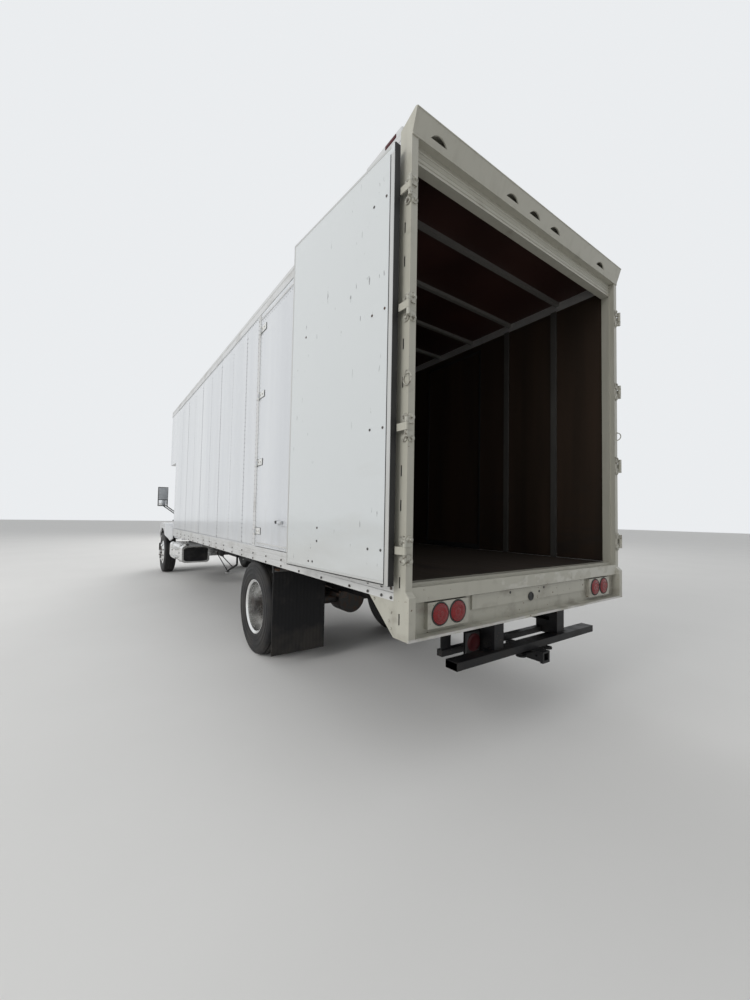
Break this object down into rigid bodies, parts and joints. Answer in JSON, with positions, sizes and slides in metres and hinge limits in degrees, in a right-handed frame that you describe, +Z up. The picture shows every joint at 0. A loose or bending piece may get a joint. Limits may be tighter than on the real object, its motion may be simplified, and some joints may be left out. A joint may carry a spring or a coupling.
{
  "type": "box truck",
  "caption": "White conventional-cab box truck with an attic over the cab, side doors, swung-open rear doors, tilting hood, steered front wheels and dual rear wheels.",
  "frame": {"origin": "on the ground under the middle of the truck's overall box, rear doors swung open", "axes": "+X to the truck's left, -Y to its front, +Y to its rear doors, +Z up"},
  "size_m": [2.9358, 11.22, 3.9809],
  "materials": {
    "white_skin": "glossy white sheet",
    "rail_aluminium": "extruded, dull",
    "frame_paint": "light grey paint, worn",
    "floor_wood": "dark worn boards",
    "chassis_black": "black chassis paint, dusty",
    "cast_grey": "raw casting",
    "spring_steel": "dark scale",
    "wheel_polish": "polished",
    "tyre_rubber": "black rubber",
    "tank_polish": "polished",
    "cab_paint": "glossy white",
    "glass_clear": "tinted",
    "mirror_black": "textured black",
    "lamp_red": "red lens",
    "lamp_clear": "clear lens",
    "hinge_steel": "zinc plated",
    "flap_rubber": "black sheet",
    "trim_plastic": "grey cab trim",
    "seat_fabric": "woven grey",
    "bumper_chrome": "bright",
    "grille_chrome": "bright"
  },
  "bodies": {
    "truck": {"chassis_frame": "chassis_black", "engine_block": "cast_grey", "radiator": "chassis_black", "driveline": "cast_grey", "rear_axle": "chassis_black", "front_axle": "chassis_black", "leaf_springs": "spring_steel", "van_floor": "floor_wood", "wall_posts": "rail_aluminium", "side_wall_left": "white_skin", "side_wall_right": "white_skin", "body_rails": "rail_aluminium", "bulkhead": "white_skin", "attic": "white_skin", "roof": "rail_aluminium", "rear_frame": "frame_paint", "rear_lamps": "lamp_red", "hinge_butts": "hinge_steel", "side_hinge_butts": "hinge_steel", "tow_hitch": "chassis_black", "mud_flaps": "flap_rubber", "flap_brackets": "chassis_black", "fuel_tank": "tank_polish", "battery_box": "chassis_black", "cab_shell": "cab_paint", "cab_glass": "glass_clear", "seats": "seat_fabric", "dashboard": "trim_plastic", "bumper": "bumper_chrome"},
    "hood": {"hood": "cab_paint", "grille": "grille_chrome", "headlamps": "lamp_clear"},
    "steering_wheel": {"steering_wheel": "trim_plastic"},
    "tie_rod": {"tie_rod": "chassis_black"},
    "cab_door_left": {"cab_door_left": "cab_paint", "door_glass_left": "glass_clear", "mirror_left": "mirror_black"},
    "side_door_left": {"side_door_left": "white_skin"},
    "rear_door_left": {"rear_door_left": "white_skin", "lock_rod_left": "hinge_steel"},
    "knuckle_left": {"knuckle_left": "cast_grey"},
    "front_wheel_left": {"front_wheel_left": "wheel_polish", "front_tyre_left": "tyre_rubber"},
    "rear_wheels_left": {"rear_wheels_left": "wheel_polish", "rear_tyres_left": "tyre_rubber"},
    "cab_door_right": {"cab_door_right": "cab_paint", "door_glass_right": "glass_clear", "mirror_right": "mirror_black"},
    "side_door_right": {"side_door_right": "white_skin"},
    "rear_door_right": {"rear_door_right": "white_skin", "lock_rod_right": "hinge_steel"},
    "knuckle_right": {"knuckle_right": "cast_grey"},
    "front_wheel_right": {"front_wheel_right": "wheel_polish", "front_tyre_right": "tyre_rubber"},
    "rear_wheels_right": {"rear_wheels_right": "wheel_polish", "rear_tyres_right": "tyre_rubber"}
  },
  "joints": [
    {"name": "steer_left", "type": "hinge", "parent": "truck", "child": "knuckle_left", "pos_m": [0.89, -4.657, 0.518], "axis": [0, 0, 1], "range_deg": [-38, 38]},
    {"name": "steer_right", "type": "hinge", "parent": "truck", "child": "knuckle_right", "pos_m": [-0.89, -4.657, 0.518], "axis": [0, 0, 1], "range_deg": [-38, 38]},
    {"name": "tie_rod_pivot", "type": "hinge", "parent": "knuckle_left", "child": "tie_rod", "pos_m": [0.89, -4.487, 0.44], "axis": [0, 0, 1], "range_deg": [-38, 38]},
    {"name": "steering_wheel_turn", "type": "hinge", "parent": "truck", "child": "steering_wheel", "pos_m": [0.44, -3.577, 1.65], "axis": [0, 0.766, 0.6428], "range_deg": [-532, 532]},
    {"name": "front_wheel_left_spin", "type": "hinge", "parent": "knuckle_left", "child": "front_wheel_left", "pos_m": [1.062, -4.657, 0.518], "axis": [1, 0, 0], "continuous": true},
    {"name": "rear_wheels_left_spin", "type": "hinge", "parent": "truck", "child": "rear_wheels_left", "pos_m": [0.935, 2.793, 0.518], "axis": [1, 0, 0], "continuous": true},
    {"name": "rear_door_left_close", "type": "hinge", "parent": "truck", "child": "rear_door_left", "pos_m": [1.317, 5.557, 2.4], "axis": [0, 0, 1], "range_deg": [0, 265.5]},
    {"name": "side_door_left_open", "type": "hinge", "parent": "truck", "child": "side_door_left", "pos_m": [1.304, 2.973, 2.4], "axis": [0, 0, -1], "range_deg": [0, 170]},
    {"name": "cab_door_left_open", "type": "hinge", "parent": "truck", "child": "cab_door_left", "pos_m": [1.032, -3.96, 1.3], "axis": [0, 0, -1], "range_deg": [0, 65]},
    {"name": "front_wheel_right_spin", "type": "hinge", "parent": "knuckle_right", "child": "front_wheel_right", "pos_m": [-1.062, -4.657, 0.518], "axis": [1, 0, 0], "continuous": true},
    {"name": "rear_wheels_right_spin", "type": "hinge", "parent": "truck", "child": "rear_wheels_right", "pos_m": [-0.935, 2.793, 0.518], "axis": [1, 0, 0], "continuous": true},
    {"name": "rear_door_right_close", "type": "hinge", "parent": "truck", "child": "rear_door_right", "pos_m": [-1.317, 5.557, 2.4], "axis": [0, 0, -1], "range_deg": [0, 265.5]},
    {"name": "side_door_right_open", "type": "hinge", "parent": "truck", "child": "side_door_right", "pos_m": [-1.304, 2.973, 2.4], "axis": [0, 0, 1], "range_deg": [0, 170]},
    {"name": "cab_door_right_open", "type": "hinge", "parent": "truck", "child": "cab_door_right", "pos_m": [-1.032, -3.96, 1.3], "axis": [0, 0, 1], "range_deg": [0, 65]},
    {"name": "hood_tilt", "type": "hinge", "parent": "truck", "child": "hood", "pos_m": [0, -5.447, 0.82], "axis": [1, 0, 0], "range_deg": [0, 55]}
  ],
  "couplings": [
    {"joint": "steer_right", "follows": "steer_left", "ratio": 1},
    {"joint": "tie_rod_pivot", "follows": "steer_left", "ratio": -1},
    {"joint": "steering_wheel_turn", "follows": "steer_left", "ratio": 14}
  ]
}
